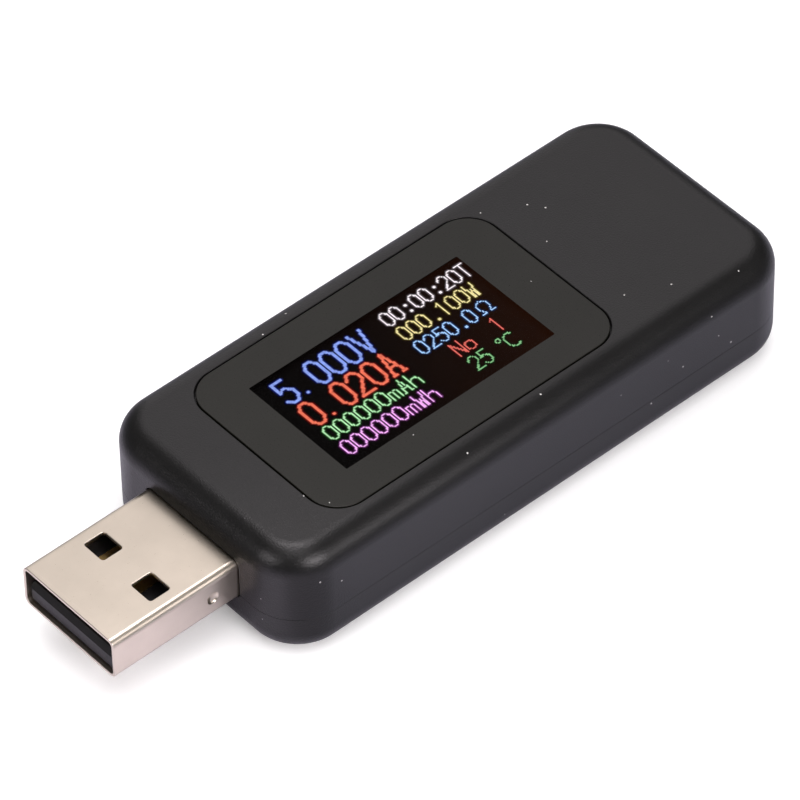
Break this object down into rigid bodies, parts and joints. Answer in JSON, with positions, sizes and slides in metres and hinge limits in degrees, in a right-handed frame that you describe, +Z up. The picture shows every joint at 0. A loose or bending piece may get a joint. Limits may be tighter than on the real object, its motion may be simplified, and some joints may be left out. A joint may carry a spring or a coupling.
{
  "type": "usb power meter",
  "caption": "Pass-through USB power meter: a USB-A plug, a USB-A socket and a colour display under a flush window in a slim two-part case with a side key.",
  "frame": {"origin": "centre of the case's flat underside", "axes": "+X runs along the meter from the plug to the socket, +Y points to the long side with the key, +Z points up out of the display"},
  "size_m": [0.0727, 0.0261, 0.012],
  "materials": {
    "case_plastic": "fine spark-eroded black ABS",
    "window_acrylic": "acrylic sheet, printed dark behind, clear over the display",
    "key_plastic": "satin black ABS",
    "adhesive_tape": "black foam tape",
    "polariser_film": "smooth dark film",
    "lcd_glass": "polished thin glass",
    "white_plastic": "moulded white plastic",
    "clear_acrylic": "clear acrylic",
    "flex_film": "amber polyimide",
    "foam": "open-cell foam",
    "board_laminate": "green solder mask on glass laminate",
    "chip_epoxy": "matt black epoxy",
    "ceramic_chip": "tan ceramic with tinned ends",
    "tinned_metal": "dull tin plate",
    "plated_steel": "satin nickel-plated sheet steel",
    "black_nylon": "moulded black nylon",
    "gold_plate": "thin gold plate on copper alloy"
  },
  "bodies": {
    "meter": {"upper_shell": "case_plastic", "lower_shell": "case_plastic", "screen_window": "window_acrylic", "window_adhesive": "adhesive_tape", "front_polariser": "polariser_film", "colour_filter_glass": "lcd_glass", "array_glass": "lcd_glass", "rear_polariser": "polariser_film", "diffuser_film": "white_plastic", "light_guide": "clear_acrylic", "reflector_film": "white_plastic", "backlight_frame": "white_plastic", "backlight_led": "white_plastic", "display_driver": "chip_epoxy", "display_flex": "flex_film", "foam_pad": "foam", "circuit_board": "board_laminate", "current_shunt": "tinned_metal", "microcontroller": "chip_epoxy", "measuring_chip": "chip_epoxy", "memory_chip": "chip_epoxy", "voltage_regulator": "chip_epoxy", "backlight_transistor": "chip_epoxy", "crystal": "tinned_metal", "capacitor_1": "ceramic_chip", "capacitor_2": "ceramic_chip", "capacitor_3": "ceramic_chip", "capacitor_4": "ceramic_chip", "plug_shell": "plated_steel", "plug_insulator": "black_nylon", "plug_contact_1": "gold_plate", "plug_contact_2": "gold_plate", "plug_contact_3": "gold_plate", "plug_contact_4": "gold_plate", "socket_shell": "plated_steel", "socket_insulator": "black_nylon", "socket_contact_1": "gold_plate", "socket_contact_2": "gold_plate", "socket_contact_3": "gold_plate", "socket_contact_4": "gold_plate", "switch_base": "black_nylon", "switch_dome": "tinned_metal", "switch_cover": "tinned_metal"},
    "key": {"side_key": "key_plastic"},
    "plunger": {"switch_plunger": "key_plastic"}
  },
  "joints": [
    {"name": "key_press", "type": "slide", "parent": "meter", "child": "key", "axis": [0, -1, 0], "range_m": [0, 0.0003]},
    {"name": "plunger_press", "type": "slide", "parent": "meter", "child": "plunger", "axis": [0, -1, 0], "range_m": [0, 0.0003]}
  ],
  "couplings": [
    {"joint": "plunger_press", "follows": "key_press", "ratio": 1}
  ]
}
